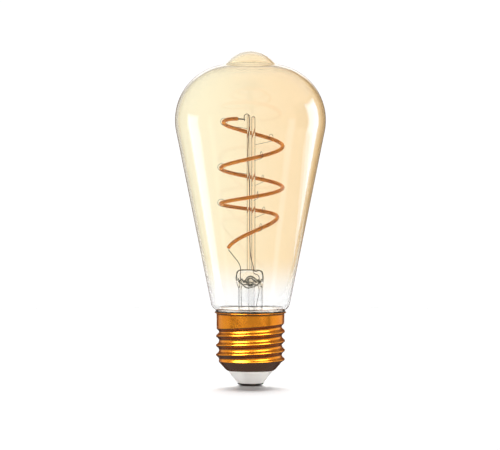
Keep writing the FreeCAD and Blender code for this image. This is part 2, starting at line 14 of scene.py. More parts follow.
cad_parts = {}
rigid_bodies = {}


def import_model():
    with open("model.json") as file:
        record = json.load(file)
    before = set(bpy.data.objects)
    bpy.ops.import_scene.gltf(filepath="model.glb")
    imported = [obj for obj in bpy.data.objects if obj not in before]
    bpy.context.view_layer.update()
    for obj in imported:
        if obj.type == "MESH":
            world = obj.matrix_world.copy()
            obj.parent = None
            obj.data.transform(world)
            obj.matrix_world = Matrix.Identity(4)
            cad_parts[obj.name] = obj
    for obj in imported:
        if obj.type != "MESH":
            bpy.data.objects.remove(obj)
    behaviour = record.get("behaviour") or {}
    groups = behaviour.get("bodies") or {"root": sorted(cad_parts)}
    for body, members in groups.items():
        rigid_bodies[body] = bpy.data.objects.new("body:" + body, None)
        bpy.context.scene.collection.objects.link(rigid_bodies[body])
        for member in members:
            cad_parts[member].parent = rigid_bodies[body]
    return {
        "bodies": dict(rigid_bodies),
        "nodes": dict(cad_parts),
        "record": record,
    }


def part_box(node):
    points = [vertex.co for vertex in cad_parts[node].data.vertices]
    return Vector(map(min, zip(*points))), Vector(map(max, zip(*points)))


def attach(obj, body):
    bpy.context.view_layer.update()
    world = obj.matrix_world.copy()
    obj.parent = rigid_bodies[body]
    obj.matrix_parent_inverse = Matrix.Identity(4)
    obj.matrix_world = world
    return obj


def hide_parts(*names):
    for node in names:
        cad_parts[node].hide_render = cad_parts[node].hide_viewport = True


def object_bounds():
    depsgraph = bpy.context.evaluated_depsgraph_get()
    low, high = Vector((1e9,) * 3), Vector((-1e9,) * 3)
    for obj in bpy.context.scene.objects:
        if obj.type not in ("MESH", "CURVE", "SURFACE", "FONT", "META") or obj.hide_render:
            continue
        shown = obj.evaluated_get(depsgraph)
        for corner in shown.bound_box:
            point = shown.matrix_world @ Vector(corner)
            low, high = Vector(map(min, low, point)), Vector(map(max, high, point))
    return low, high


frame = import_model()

MM = 0.001
CAD_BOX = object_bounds()
BODY = next(iter(frame["bodies"]))
PIECES = {}


def extent(node):
    """A CAD node's lowest and highest corners in millimetres."""
    low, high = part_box(node)
    return Vector(low) / MM, Vector(high) / MM


# ---- driving dimensions ----
glass_low, glass_high = extent("glass_envelope")
shell_low = extent("screw_shell")[0]
contact_high = extent("centre_contact")[1]
bulb_height = glass_high.z
glass_wall = 0.9
tip_radius = 11.4
tip_fillet = 8.0
shoulder_radius = 21.4
shoulder_centre = (glass_high.x - shoulder_radius, bulb_height - 26.3)
taper = math.radians(11.4)
taper_bottom = 31.6
foot_radius = 4.0
neck_radius = 11.6
neck_fillet = 1.0
neck_bottom = glass_low.z

thread_outer_radius = 13.2
thread_root_radius = 12.05
thread_pitch = 3.629
first_crest_height = 20.87
crest_sharpness = 1.6
sheet = 0.3
collar_radius = 12.95
collar_bottom = 23.25
collar_slant = 1.15
collar_straight = 24.4
collar_fade = 1.4
lip_height = 28.1
lip_roll = 0.16
lip_roll_centre = (13.55, lip_height - 0.02)
cement_gap = 0.02
cement_top = lip_height - 0.1
cement_sink = 0.35
# A dark bead on the rim, painted shadow in the gap between glass and brass lip.
gap_shadow_centre = (13.05, 28.4)
gap_shadow_radius = 0.34
cone_top_height = 8.6
cone_top_radius = 11.6
cone_fade = 1.7

stem_radius = 4.75
stem_wall = 0.4
stem_flare_height = 6.0
press_bottom = 39.6
press_top = 44.6
press_half_width = 5.3
press_half_depth = 1.75
press_shift = -0.3
pinch_height = 2.6
press_gap = 0.16
press_wave = 0.45
press_waves = 5
fold_depth = -0.9
fold_wire = 0.26
exhaust_radius = 1.35
exhaust_wall = 0.4
exhaust_x = 0.4
left_rod = (-0.72, 0.0, 0.65)
right_rod = (1.11, 0.0, 0.76)

filament_radius = 0.72
filament_centre_x = 0.5
helix_radius = 11.8
helix_start = -0.1
helix_end = 2.943
helix_top = 101.3
helix_drop = 20.3
helix_gather = 2.25
start_droop = 125.0
end_droop = 27.0
end_droop_from = 2.4
start_inset = 0.47
start_inset_to = 0.15
start_inset_power = 2.6
end_inset = 0.2
end_inset_from = 2.15
end_inset_to = 2.6
filament_lump = 0.025
top_pin = 2.5
bottom_pin = 0.5
pin_radius = 0.25
crimp_radius = 0.5
hook_turns = (0.04, 0.36, 0.70, 1.00, 1.31, 1.72, 2.00, 2.32, 2.69)
hook_wire = 0.08
hook_loop = 1.35
hook_rise = 1.2
hook_clearance = 0.12
hook_sweep = 280
lead_wire = 0.15
seal_wire = 0.15
thin_wire = 0.12
seal_y = -1.0


# ---- mesh helpers ----
def smooth_step(value, low, high):
    """0 below low, 1 above high, and a smooth rise between."""
    share = min(1.0, max(0.0, (value - low) / (high - low)))
    return share * share * (3 - 2 * share)


def arc_points(centre, radius, first, last, steps):
    """Points of a section arc from the first angle to the last."""
    angles = [first + (last - first) * step / steps for step in range(steps + 1)]
    return [
        (centre[0] + radius * math.cos(angle), centre[1] + radius * math.sin(angle))
        for angle in angles
    ]


def along(start, end, steps):
    """Points from start towards end, without the end itself."""
    return [
        tuple(a + (b - a) * step / steps for a, b in zip(start, end)) for step in range(steps)
    ]


def loft(rings):
    """Vertices and faces of a skin over a closed list of rings of equally many points."""
    steps = len(rings[0])
    vertices = [point for ring in rings for point in ring]
    faces = []
    for index in range(len(rings)):
        here = index * steps
        there = (index + 1) % len(rings) * steps
        for step in range(steps):
            onward = (step + 1) % steps
            faces.append((here + step, here + onward, there + onward, there + step))
    return vertices, faces


def circle_ring(radius, height, steps):
    angles = [2 * math.pi * step / steps for step in range(steps)]
    return [(radius * math.cos(angle), radius * math.sin(angle), height) for angle in angles]


def lathe(outline, steps=192):
    """Skin of an outline of (radius, height) points turned about the axis."""
    return loft([circle_ring(radius, height, steps) for radius, height in outline])


def through(points, steps):
    """A smooth path through points: a Catmull-Rom curve with steps between neighbours."""
    knots = [Vector(point) for point in points]
    knots = [knots[0] * 2 - knots[1]] + knots + [knots[-1] * 2 - knots[-2]]
    path = []
    for before, start, end, after in zip(knots, knots[1:], knots[2:], knots[3:]):
        for step in range(steps):
            t = step / steps
            path.append(
                0.5
                * (
                    2 * start
                    + (end - before) * t
                    + (2 * before - 5 * start + 4 * end - after) * t**2
                    + (3 * start - before - 3 * end + after) * t**3
                )
            )
    return path + [knots[-2]]


def tube(path, radius, sides=14):
    """A round wire along a path, with rounded ends."""
    end_share = (0.0, 0.35, 0.7, 0.93)
    headings = [
        (path[min(index + 1, len(path) - 1)] - path[max(index - 1, 0)]).normalized()
        for index in range(len(path))
    ]
    side = headings[0].orthogonal().normalized()
    rings = []

    def add_ring(centre, heading, size):
        nonlocal side
        side = (side - heading * side.dot(heading)).normalized()
        other = heading.cross(side)
        angles = [2 * math.pi * step / sides for step in range(sides)]
        rings.append(
            [
                centre + (side * math.cos(angle) + other * math.sin(angle)) * size
                for angle in angles
            ]
        )

    for share in end_share:
        reach = radius * math.sqrt(1 - share**2)
        add_ring(path[0] - headings[0] * (reach - radius), headings[0], radius * share)
    for centre, heading in zip(path[1:-1], headings[1:-1]):
        add_ring(centre, heading, radius)
    for share in reversed(end_share):
        reach = radius * math.sqrt(1 - share**2)
        add_ring(path[-1] + headings[-1] * (reach - radius), headings[-1], radius * share)
    return loft(rings)


def joined(skins):
    """Several skins as one list of vertices and faces."""
    vertices = []
    faces = []
    for skin_vertices, skin_faces in skins:
        shift = len(vertices)
        vertices += list(skin_vertices)
        faces += [tuple(shift + corner for corner in face) for face in skin_faces]
    return vertices, faces


def piece(name, skin, material, nodes, sharp=math.radians(40)):
    """A smooth mesh piece in metres that stands for CAD nodes and rides on the body."""
    vertices, faces = skin
    mesh = bpy.data.meshes.new(name)
    mesh.from_pydata([Vector(vertex) * MM for vertex in vertices], [], faces)
    shape = bmesh.new()
    shape.from_mesh(mesh)
    bmesh.ops.remove_doubles(shape, verts=shape.verts, dist=1e-7)
    bmesh.ops.dissolve_degenerate(shape, edges=shape.edges, dist=1e-8)
    bmesh.ops.recalc_face_normals(shape, faces=shape.faces)
    shape.to_mesh(mesh)
    shape.free()
    mesh.shade_smooth()
    mesh.set_sharp_from_angle(angle=sharp)
    made = bpy.data.objects.new(name, mesh)
    bpy.context.scene.collection.objects.link(made)
    mesh.materials.append(material)
    PIECES[name] = made
    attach(made, BODY)
    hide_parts(*nodes)
    return made


# ---- material helpers ----
class Look:
    """A node material under construction, with short ways to add and join nodes."""

    def __init__(self, name, base=(0.8, 0.8, 0.8), roughness=0.5, metallic=0.0):
        self.material = bpy.data.materials.new(name)
        self.material.use_nodes = True
        self.tree = self.material.node_tree
        self.shader = self.tree.nodes["Principled BSDF"]
        self.output = self.tree.nodes["Material Output"]
        self.set(**{"Base Color": (*base, 1), "Roughness": roughness, "Metallic": metallic})
        self.place = self.add("ShaderNodeTexCoord").outputs["Object"]

    def set(self, **values):
        for socket, value in values.items():
            self.shader.inputs[socket].default_value = value

    def add(self, kind, settings=None, **inputs):
        node = self.tree.nodes.new(kind)
        for key, value in (settings or {}).items():
            setattr(node, key, value)
        for socket, value in inputs.items():
            self.feed(node.inputs[socket], value)
        return node

    def feed(self, socket, value):
        """Links an output into a socket, or sets a plain value on it."""
        if isinstance(value, bpy.types.NodeSocket):
            self.tree.links.new(value, socket)
        else:
            socket.default_value = value

    def noise(self, scale, detail=3.0, roughness=0.5):
        return self.add(
            "ShaderNodeTexNoise",
            Vector=self.place,
            Scale=scale,
            Detail=detail,
            Roughness=roughness,
        ).outputs["Fac"]

    def ramp(self, factor, stops):
        """A colour ramp from (position, colour) stops."""
        node = self.add("ShaderNodeValToRGB", Fac=factor)
        elements = node.color_ramp.elements
        for index, (position, colour) in enumerate(stops):
            element = elements[index] if index < 2 else elements.new(position)
            element.position = position
            element.color = (*colour, 1)
        return node.outputs["Color"]

    def mix(self, factor, first, second):
        """A blend of two colours."""
        node = self.add("ShaderNodeMix", {"data_type": "RGBA"})
        self.feed(node.inputs[0], factor)
        for socket, value in ((node.inputs[6], first), (node.inputs[7], second)):
            self.feed(socket, (*value, 1) if isinstance(value, tuple) else value)
        return node.outputs[2]

    def span(self, value, low, high, to_low=0.0, to_high=1.0):
        """A smooth map of a value from one range to another."""
        node = self.add(
            "ShaderNodeMapRange", {"interpolation_type": "SMOOTHSTEP"}, Value=value
        )
        for index, setting in enumerate((low, high, to_low, to_high), 1):
            node.inputs[index].default_value = setting
        return node.outputs["Result"]

    def axis(self, letter):
        """The object coordinate along x, y or z, in metres."""
        return self.add("ShaderNodeSeparateXYZ", Vector=self.place).outputs[letter]

    def bump(self, height, strength, distance):
        node = self.add("ShaderNodeBump", Height=height, Strength=strength, Distance=distance)
        self.feed(self.shader.inputs["Normal"], node.outputs["Normal"])

    def colour(self, value):
        self.feed(self.shader.inputs["Base Color"], value)

    def gloss(self, value):
        self.feed(self.shader.inputs["Roughness"], value)

    def lets_lamps_through(self, tint):
        """Shadow rays pass the glass with its tint, so that lamps light what is inside."""
        clear = self.add("ShaderNodeBsdfTransparent")
        clear.inputs["Color"].default_value = (*tint, 1)
        shadow = self.add("ShaderNodeLightPath").outputs["Is Shadow Ray"]
        both = self.add("ShaderNodeMixShader", Fac=shadow)
        self.tree.links.new(self.shader.outputs["BSDF"], both.inputs[1])
        self.tree.links.new(clear.outputs["BSDF"], both.inputs[2])
        self.tree.links.new(both.outputs["Shader"], self.output.inputs["Surface"])


# ---- materials ----
def amber_glass():
    """Gold-tinted glass, clear near the foot. Painted light makes it paler at -X and warmer at +X,
    painted shade greys it just above the rim, and a painted dark edge, only a little of it from
    the longer path through the glass, browns it where it is seen edge-on.
    """
    look = Look("amber_glass", roughness=0.0)
    look.set(**{"Transmission Weight": 1.0, "IOR": 1.5})
    painted_light_left_tint = (0.992, 0.952, 0.80)
    painted_light_right_tint = (0.985, 0.862, 0.672)
    clear_tint = (0.995, 0.995, 0.992)
    edge_tint_and_painted_shade = (0.22, 0.11, 0.07)
    # Painted light: the tint is paler towards -X and warmer towards +X.
    amber = look.mix(look.span(look.axis("X"), -26 * MM, 20 * MM), painted_light_left_tint, painted_light_right_tint)
    coated = look.span(look.axis("Z"), 33 * MM, 50 * MM)
    tint = look.mix(coated, clear_tint, amber)
    # Painted shade: the tint greys just above the brass rim.
    clear_of_rim_shade = look.span(look.axis("Z"), 28.0 * MM, 29.8 * MM)
    tint = look.mix(clear_of_rim_shade, (0.80, 0.77, 0.73), tint)
    # Painted shade: the glass turns brown where it is seen edge-on, far more than its longer path
    # through the tint would make it.
    facing = look.add("ShaderNodeLayerWeight", Blend=0.5).outputs["Facing"]
    look.colour(look.mix(look.span(facing, 0.84, 0.98), tint, edge_tint_and_painted_shade))
    return look.material


def clear_glass(name, body, edge, edge_from, edge_to):
    """Faintly tinted glass that darkens in painted shade where it is seen edge-on."""
    look = Look(name, body, 0.0)
    look.set(**{"Transmission Weight": 1.0, "IOR": 1.5})
    # Painted shade: the edge colour stands for the dark lines that refraction gives at the glass's
    # edges.
    facing = look.add("ShaderNodeLayerWeight", Blend=0.5).outputs["Facing"]
    look.colour(look.mix(look.span(facing, edge_from, edge_to), body, edge))
    look.lets_lamps_through((0.97, 0.97, 0.97))
    return look.material


def cap_brass():
    """Lacquered brass in orange patches, darker on faces that look down: tarnished and in painted shade.
    """
    look = Look("cap_brass", (0.86, 0.33, 0.068), 0.28, 1.0)
    patches = look.noise(160.0, 4.0, 0.6)
    bright = look.ramp(patches, [(0.3, (0.93, 0.29, 0.022)), (0.75, (0.99, 0.36, 0.03))])
    normal = look.add("ShaderNodeNewGeometry").outputs["Normal"]
    leaning = look.add("ShaderNodeSeparateXYZ", Vector=normal).outputs["Z"]
    # Painted shade with tarnished brass: faces that look down turn dark brown.
    tarnish_and_painted_shade = (0.24, 0.13, 0.09)
    look.colour(look.mix(look.span(leaning, -0.45, 0.0), tarnish_and_painted_shade, bright))
    look.gloss(look.span(look.noise(420.0, 5.0), 0.3, 0.75, 0.24, 0.30))
    look.bump(look.noise(1500.0, 2.0), 0.01, 0.01 * MM)
    return look.material


def insulator_white():
    """Glazed white insulator with a faint warm shade."""
    look = Look("insulator_white", (0.92, 0.87, 0.83), 0.32)
    look.colour(
        look.ramp(look.noise(240.0, 3.0), [(0.3, (0.90, 0.85, 0.80)), (0.7, (0.94, 0.90, 0.86))])
    )
    look.set(**{"Coat Weight": 0.2, "Coat Roughness": 0.2, "Subsurface Weight": 0.08})
    look.bump(look.noise(900.0, 3.0), 0.05, 0.03 * MM)
    return look.material


def contact_metal():
    """Dark solder-coated contact."""
    look = Look("contact_metal", (0.06, 0.06, 0.06), 0.38, 1.0)
    look.colour(
        look.ramp(look.noise(700.0, 4.0), [(0.3, (0.05, 0.05, 0.05)), (0.75, (0.14, 0.135, 0.13))])
    )
    look.gloss(look.span(look.noise(900.0, 4.0), 0.3, 0.7, 0.28, 0.5))
    look.bump(look.noise(1200.0, 4.0), 0.15, 0.04 * MM)
    return look.material


def filament_silicone():
    """Phosphor-filled silicone in soft patches of deep orange."""
    look = Look("filament_silicone", (0.70, 0.21, 0.004), 0.42)
    patches = look.noise(320.0, 3.0)
    look.colour(look.ramp(patches, [(0.3, (0.60, 0.18, 0.003)), (0.7, (0.78, 0.27, 0.005))]))
    look.set(
        **{
            "Specular IOR Level": 0.15,
            "Subsurface Weight": 0.25,
            "Subsurface Radius": (1.0, 0.5, 0.05),
            "Subsurface Scale": 0.6 * MM,
        }
    )
    look.bump(look.noise(1400.0, 2.0), 0.08, 0.04 * MM)
    return look.material


def speckled(name, dark, light, roughness, metallic=0.0, scale=400.0, bump=0.05):
    """A finish of two close tones with a fine grain, for the small parts."""
    look = Look(name, light, roughness, metallic)
    look.colour(look.ramp(look.noise(scale, 4.0), [(0.3, dark), (0.7, light)]))
    look.gloss(look.span(look.noise(scale * 2, 3.0), 0.3, 0.7, roughness * 0.8, roughness * 1.2))
    look.bump(look.noise(scale * 3, 3.0), bump, 0.05 * MM)
    return look.material


FINISHES = {
    "amber_glass": amber_glass(),
    "clear_glass": clear_glass("clear_glass", (1.0, 1.0, 1.0), (0.02, 0.02, 0.022), 0.45, 0.85),
    "cap_brass": cap_brass(),
    "insulator_white": insulator_white(),
    "contact_metal": contact_metal(),
    "filament_silicone": filament_silicone(),
    "cement": speckled("cement", (0.78, 0.76, 0.72), (0.86, 0.84, 0.80), 0.85, bump=0.4),
    "filament_strip": speckled("filament_strip", (0.72, 0.66, 0.55), (0.85, 0.80, 0.70), 0.5),
    "led_chip": speckled("led_chip", (0.80, 0.70, 0.30), (0.90, 0.82, 0.45), 0.25),
    "lead_metal": speckled("lead_metal", (0.045, 0.028, 0.018), (0.10, 0.065, 0.042), 0.35, 0.6),
    "hook_wire": speckled("hook_wire", (0.03, 0.026, 0.022), (0.07, 0.062, 0.055), 0.4, 0.5),
    "seal_copper": speckled("seal_copper", (0.12, 0.05, 0.03), (0.22, 0.09, 0.05), 0.35, 0.8),
    "wire_insulation": speckled("wire_insulation", (0.66, 0.66, 0.63), (0.78, 0.78, 0.75), 0.5),
    "pin_brass": speckled("pin_brass", (0.70, 0.50, 0.20), (0.86, 0.66, 0.32), 0.22, 1.0),
    "board_green": speckled("board_green", (0.02, 0.12, 0.05), (0.04, 0.20, 0.09), 0.4),
    "capacitor_sleeve": speckled("capacitor_sleeve", (0.02, 0.02, 0.03), (0.05, 0.05, 0.07), 0.25),
    "ferrite": speckled("ferrite", (0.05, 0.05, 0.055), (0.12, 0.12, 0.13), 0.6),
    "resistor_body": speckled("resistor_body", (0.20, 0.32, 0.27), (0.32, 0.46, 0.40), 0.45),
    "sleeve_black": speckled("sleeve_black", (0.012, 0.012, 0.012), (0.03, 0.03, 0.03), 0.5),
    "package_black": speckled("package_black", (0.012, 0.012, 0.012), (0.035, 0.035, 0.035), 0.6),
    "chip_ceramic": speckled("chip_ceramic", (0.45, 0.33, 0.21), (0.58, 0.45, 0.31), 0.45),
    "shield_steel": speckled("shield_steel", (0.55, 0.55, 0.55), (0.72, 0.72, 0.72), 0.3, 1.0),
    "sleeve_film": speckled("sleeve_film", (0.70, 0.66, 0.52), (0.84, 0.80, 0.66), 0.3),
}
# The rods' glass also gets a painted shade edge, its second colour.
ROD_GLASS = clear_glass("rod_glass", (0.97, 0.92, 0.87), (0.12, 0.075, 0.045), 0.06, 0.45)
# Painted shadow: a near-black bead standing for the gap between glass and lip.
GAP_SHADOW_FINISH = speckled("painted_gap_shadow", (0.02, 0.013, 0.008), (0.05, 0.033, 0.02), 0.6, bump=0.2)
SEAM_GLASS = speckled("seam_glass", (0.05, 0.05, 0.03), (0.12, 0.11, 0.06), 0.2)


def finish_carried_nodes():
    """Gives every CAD node the finish of its material slot."""
    for subpart in frame["record"]["subparts"]:
        node = frame["nodes"][subpart["node"]]
        finish = FINISHES[subpart["material_slot"]]
        for place in node.material_slots:
            place.material = finish
        if not node.material_slots:
            node.data.materials.append(finish)


# ---- glass envelope ----
def envelope_outline(inset):
    """Outline from the tip to the bottom of the neck, moved in by inset."""
    tip_centre = (0.0, bulb_height - tip_radius)
    reach = math.dist(tip_centre, shoulder_centre)
    to_tip = tip_radius + tip_fillet
    to_shoulder = shoulder_radius + tip_fillet
    lengthwise = (to_tip**2 - to_shoulder**2 + reach**2) / (2 * reach)
    across = math.sqrt(to_tip**2 - lengthwise**2)
    slope_r = (shoulder_centre[0] - tip_centre[0]) / reach
    slope_z = (shoulder_centre[1] - tip_centre[1]) / reach
    fillet_centre = (
        tip_centre[0] + lengthwise * slope_r - across * slope_z,
        tip_centre[1] + lengthwise * slope_z + across * slope_r,
    )
    tip_angle = math.atan2(fillet_centre[1] - tip_centre[1], fillet_centre[0])
    shoulder_angle = math.atan2(
        fillet_centre[1] - shoulder_centre[1], fillet_centre[0] - shoulder_centre[0]
    )
    taper_start = arc_points(shoulder_centre, shoulder_radius, -taper, -taper, 1)[0]
    taper_end_r = taper_start[0] - (taper_start[1] - taper_bottom) * math.tan(taper)
    foot_centre = (
        taper_end_r - foot_radius * math.cos(taper),
        taper_bottom + foot_radius * math.sin(taper),
    )
    neck_centre_r = neck_radius + neck_fillet
    foot_angle = math.acos((neck_centre_r - foot_centre[0]) / (foot_radius + neck_fillet))
    neck_centre = (
        neck_centre_r,
        foot_centre[1] - (foot_radius + neck_fillet) * math.sin(foot_angle),
    )
    tip = arc_points(tip_centre, tip_radius - inset, math.pi / 2, tip_angle, 18)
    hollow = arc_points(
        fillet_centre, tip_fillet + inset, tip_angle + math.pi, shoulder_angle + math.pi, 14
    )
    shoulder = arc_points(shoulder_centre, shoulder_radius - inset, shoulder_angle, -taper, 40)
    foot = arc_points(foot_centre, foot_radius - inset, -taper, -foot_angle, 16)
    throat = arc_points(neck_centre, neck_fillet + inset, math.pi - foot_angle, math.pi, 8)
    side = along(shoulder[-1], foot[0], 40)
    neck = along(throat[-1], (neck_radius - inset, neck_bottom), 6)
    outline = tip[:-1] + hollow[:-1] + shoulder[:-1] + side + foot[:-1] + throat[:-1] + neck
    return outline + [(neck_radius - inset, neck_bottom)]


def make_envelope():
    """Hollow glass that casts no shadow, so that the lamps reach what is inside."""
    outside = envelope_outline(0)
    inside = envelope_outline(glass_wall)
    skin = lathe(outside + inside[::-1], 256)
    made = piece("envelope", skin, FINISHES["amber_glass"], ["glass_envelope"])
    made.visible_shadow = False
    made.visible_diffuse = False


# ---- screw shell ----
def thread_radius(angle, height):
    """Outer radius of the rolled brass at an angle in degrees and a height."""
    turns = (height - first_crest_height) / thread_pitch - angle / 360
    ridge = ((1 + math.cos(2 * math.pi * turns)) / 2) ** crest_sharpness
    threaded = thread_root_radius + (thread_outer_radius - thread_root_radius) * ridge
    collar_edge = collar_bottom + collar_slant * math.cos(math.radians(angle))
    collar = smooth_step(height, collar_edge - collar_fade, collar_edge)
    cone = 1 - smooth_step(height, cone_top_height, cone_top_height + cone_fade)
    cone_radius = cone_top_radius + (height - cone_top_height) * 0.6
    return threaded * (1 - collar - cone) + collar_radius * collar + cone_radius * cone


def shell_section(angle):
    """The rolled sheet's section at an angle, up the outside and back down the inside."""
    steps = 112
    rise = collar_straight - cone_top_height
    heights = [cone_top_height + rise * step / steps for step in range(steps + 1)]
    outside = [(thread_radius(angle, height), height) for height in heights]
    inside = [(radius - sheet, height) for radius, height in reversed(outside)]
    inner = collar_radius - sheet
    bottom = shell_low.z
    crimp = [(8.6, bottom + 0.25), (8.62, bottom + 0.05), (8.75, bottom), (9.0, bottom + 0.1)]
    crimp += [(9.35, bottom + 0.32), (9.75, bottom + 0.68), (10.3, 7.15), (10.95, 7.86)]
    collar = along((collar_radius, collar_straight + 0.1), (collar_radius, lip_height - 0.8), 10)
    roll = arc_points(lip_roll_centre, lip_roll, -math.pi / 2, math.pi / 2, 10)
    lip = [
        (collar_radius, lip_height - 0.8),
        (collar_radius + 0.02, lip_height - 0.55),
        (collar_radius + 0.1, lip_height - 0.36),
        (collar_radius + 0.26, lip_height - 0.24),
        *roll,
        (collar_radius + 0.2, lip_height + 0.1),
        (inner + 0.1, lip_height - 0.1),
        (inner, lip_height - 0.4),
    ]
    inner_wall = along((inner, lip_height - 0.8), (inner, collar_straight), 8)
    inner_cone = [(10.65, 7.95), (10.0, 7.3), (9.4, 6.75), (8.9, bottom + 0.5)]
    return crimp + outside[:-1] + collar + lip + inner_wall + inside + inner_cone


def make_shell():
    steps = 224
    columns = []
    for step in range(steps):
        angle = 2 * math.pi * step / steps
        columns.append(
            [
                (radius * math.cos(angle), radius * math.sin(angle), height)
                for radius, height in shell_section(math.degrees(angle))
            ]
        )
    piece("shell", loft(columns), FINISHES["cap_brass"], ["screw_shell"])


# ---- lower end of the cap and the cement ----
def make_insulator():
    outline = [(1.0, 1.0), (4.7, 1.0)]
    outline += arc_points((4.72, 1.28), 0.28, -math.pi / 2, -0.6, 6)
    outline += along((4.96, 1.16), (8.16, 5.2), 24)
    outline += arc_points((7.95, 5.45), 0.33, -0.6, 0.0, 6)
    outline += [(8.29, 5.8), (8.3, 6.2), (9.1, 6.8), (10.95, 8.75), (10.95, 8.88), (1.0, 8.88)]
    piece(
        "insulator",
        lathe(outline, 160),
        FINISHES["insulator_white"],
        ["cap_insulator"],
    )


def make_contact():
    dome = contact_high.x
    outline = [(0.0, 0.0), (1.2, 0.0), (2.2, 0.02)]
    outline += [(2.9, 0.07), (3.5, 0.17), (4.1, 0.33), (4.55, 0.5)]
    outline += arc_points((dome - 0.22, 0.75), 0.22, -1.0, 1.2, 8)
    outline += [(4.6, 0.98), (0.88, 0.98), (0.88, contact_high.z - 0.2)]
    outline += [(0.7, contact_high.z), (0.0, contact_high.z)]
    piece(
        "contact", lathe(outline, 128), FINISHES["contact_metal"], ["centre_contact"]
    )


def make_cement():
    """Cement ring squeezed up unevenly between glass and collar, and a dark bead on the rim
    that is painted shadow in the gap between glass and lip.
    """
    bottom, top = extent("capping_cement")[0].z, cement_top
    inner, outer = neck_radius + cement_gap, collar_radius - sheet - cement_gap
    outline = along((inner, bottom), (outer, bottom), 4) + along((outer, bottom), (outer, top), 8)
    outline += along((outer, top), (inner, top), 8) + along((inner, top), (inner, bottom), 8)
    vertices, faces = lathe(outline, 128)
    lumpy = []
    for vertex in vertices:
        point = Vector(vertex)
        sink = cement_sink * abs(noise.noise(point * 0.9)) if point.z > top - 0.1 else 0.0
        lumpy.append(point - Vector((0, 0, sink)))
    piece("cement_ring", (lumpy, faces), FINISHES["cement"], ["capping_cement"])
    # The dark bead is painted shadow in the gap between glass and lip.
    sides = 16
    section = arc_points(gap_shadow_centre, gap_shadow_radius, 0, 2 * math.pi * (1 - 1 / sides), sides - 1)
    piece("gap_shadow_bead", lathe(section, 192), GAP_SHADOW_FINISH, ["capping_cement"])


# ---- stem ----
def press_section(height):
    """Half-width, half-depth, squareness and shift of the stem's outside at a height."""
    pinch = smooth_step(height, press_bottom - pinch_height, press_bottom + 0.8)
    half_width = stem_radius + (press_half_width - stem_radius) * pinch
    half_depth = stem_radius + (press_half_depth - stem_radius) * pinch
    crown = max(0.0, (height - (press_top - 1.5)) / 1.5)
    close = math.sqrt(max(0.0, 1 - crown**2.4))
    lobes = 0.16 * math.sin(math.pi * smooth_step(height, press_bottom, press_top) * 2)
    width = (half_width + lobes * pinch) * (1 - 0.3 * (1 - close)) * (close**0.35)
    return width, half_depth * close, 2 + 0.9 * pinch, press_shift * pinch


def squashed_ring(half_width, half_depth, squareness, shift, height, steps):
    """A superellipse ring, round at squareness 2 and boxier above."""
    ring = []
    for step in range(steps):
        angle = 2 * math.pi * step / steps
        cosine, sine = math.cos(angle), math.sin(angle)
        x = math.copysign(abs(cosine) ** (2 / squareness), cosine) * half_width
        y = math.copysign(abs(sine) ** (2 / squareness), sine) * half_depth
        ring.append((x + shift, y, height))
    return ring


def make_stem():
    """Flare tube and pinched press, with the wavy inner end of the hollow."""
    steps = 128
    coarse, fine_outside, fine_inside = 0.6, 0.14, 0.2
    bottom = neck_bottom - stem_wall
    flare = [
        (neck_radius - 0.05, bottom),
        (neck_radius - 0.05, neck_bottom - 0.02),
        (10.2, neck_bottom + 0.2),
        (8.6, neck_bottom + 0.8),
        (7.0, neck_bottom + 1.9),
        (5.8, neck_bottom + 3.4),
        (5.0, neck_bottom + 5.0),
    ]
    rings = [circle_ring(radius, height, steps) for radius, height in flare]
    height = neck_bottom + stem_flare_height
    while height < press_top - 0.03:
        width, depth, squareness, shift = press_section(height)
        rings.append(squashed_ring(width, depth, squareness, shift, height, steps))
        height += coarse if height < press_bottom - 3 else fine_outside
    crown = rings[-1]
    middle = Vector((press_shift, 0, press_top))
    for share in (0.7, 0.4, 0.1):
        rings.append([middle + (Vector(point) - middle) * share for point in crown])
    inner = stem_radius - stem_wall
    hollow = []
    height = neck_bottom + stem_flare_height
    while height < press_bottom + 1.3:
        pinch = smooth_step(height, press_bottom - pinch_height, press_bottom + 1.4)
        width = inner + (press_half_width - 1.1 - inner) * pinch
        depth = inner * (1 - pinch) + press_gap * pinch
        wave = [
            height + press_wave * pinch * math.sin(press_waves * 2 * math.pi * step / steps)
            for step in range(steps)
        ]
        ring = squashed_ring(width, depth, 2 + 0.6 * pinch, press_shift * pinch, 0, steps)
        hollow.append([(x, y, lift) for (x, y, _), lift in zip(ring, wave)])
        height += coarse if height < press_bottom - 3 else fine_inside
    inner_flare = [
        (5.0 - stem_wall, neck_bottom + 5.0 - 0.4),
        (5.8 - stem_wall, neck_bottom + 3.0),
        (7.0 - stem_wall, neck_bottom + 1.3),
        (8.6 - stem_wall, neck_bottom + 0.1),
        (10.0 - stem_wall, bottom + 0.1),
    ]
    rings += hollow[::-1]
    rings += [circle_ring(radius, height, steps) for radius, height in inner_flare]
    piece(
        "stem", loft(rings), FINISHES["clear_glass"], ["stem_flare_tube"]
    )


